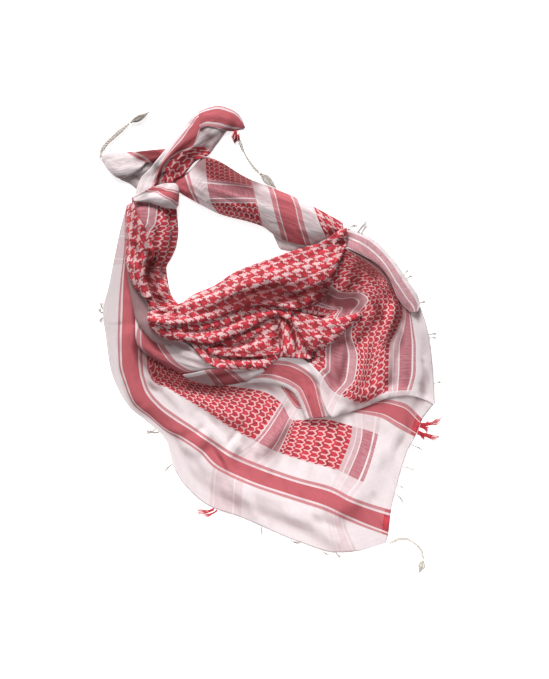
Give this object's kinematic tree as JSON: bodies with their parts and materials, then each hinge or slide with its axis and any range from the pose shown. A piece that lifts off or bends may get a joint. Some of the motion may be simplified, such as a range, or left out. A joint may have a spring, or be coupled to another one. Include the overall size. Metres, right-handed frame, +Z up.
{
  "type": "keffiyeh headscarf",
  "caption": "Square fringed cotton headscarf with woven bands and houndstooth pattern, folded on the diagonal, knotted into a loop and laid flat.",
  "frame": {"origin": "middle of the laid scarf's outline, on the surface that it lies on", "axes": "+Z up from the surface, +Y from the pointed lower corner towards the knot and its tails, +X to the scarf's right as laid"},
  "size_m": [0.6839, 0.9364, 0.0551],
  "materials": {
    "woven_cloth": "matt cotton weave, red on white",
    "plain_cloth": "matt cotton, off-white",
    "fringe_cord": "matt twisted cotton thread",
    "red_fringe": "matt red cotton thread"
  },
  "bodies": {
    "root": {"hidden_layers": "plain_cloth", "hidden_left_arm": "plain_cloth", "hidden_right_arm": "plain_cloth", "hidden_knot": "plain_cloth", "hidden_tail_right": "plain_cloth", "hidden_tail_left": "plain_cloth", "arm_flap": "plain_cloth", "neck_fold": "plain_cloth", "tail_left_back": "plain_cloth", "lower_panel": "woven_cloth", "arch_fold": "woven_cloth", "right_panel": "woven_cloth", "right_turnover": "woven_cloth", "mid_fold": "woven_cloth", "twist_fold": "woven_cloth", "right_arm": "woven_cloth", "left_arm_wave": "woven_cloth", "left_arm_houndstooth": "woven_cloth", "swirl_low": "woven_cloth", "swirl_middle": "woven_cloth", "swirl_right": "woven_cloth", "right_lip": "woven_cloth", "swirl_lip": "woven_cloth", "collar_roll": "woven_cloth", "tail_left": "woven_cloth", "tail_right": "woven_cloth", "tail_right_end": "woven_cloth", "knot_wrap": "woven_cloth", "braid_left": "fringe_cord", "braid_right": "fringe_cord", "braid_corner": "fringe_cord", "tuft_left": "fringe_cord", "tuft_right": "fringe_cord", "tuft_corner": "fringe_cord", "fringe_turnover": "fringe_cord", "fringe_right": "fringe_cord", "fringe_corner": "fringe_cord", "fringe_hem": "fringe_cord", "fringe_fold": "fringe_cord", "fringe_left": "fringe_cord", "tuft_red": "red_fringe", "fringe_band": "red_fringe"}
  },
  "joints": []
}
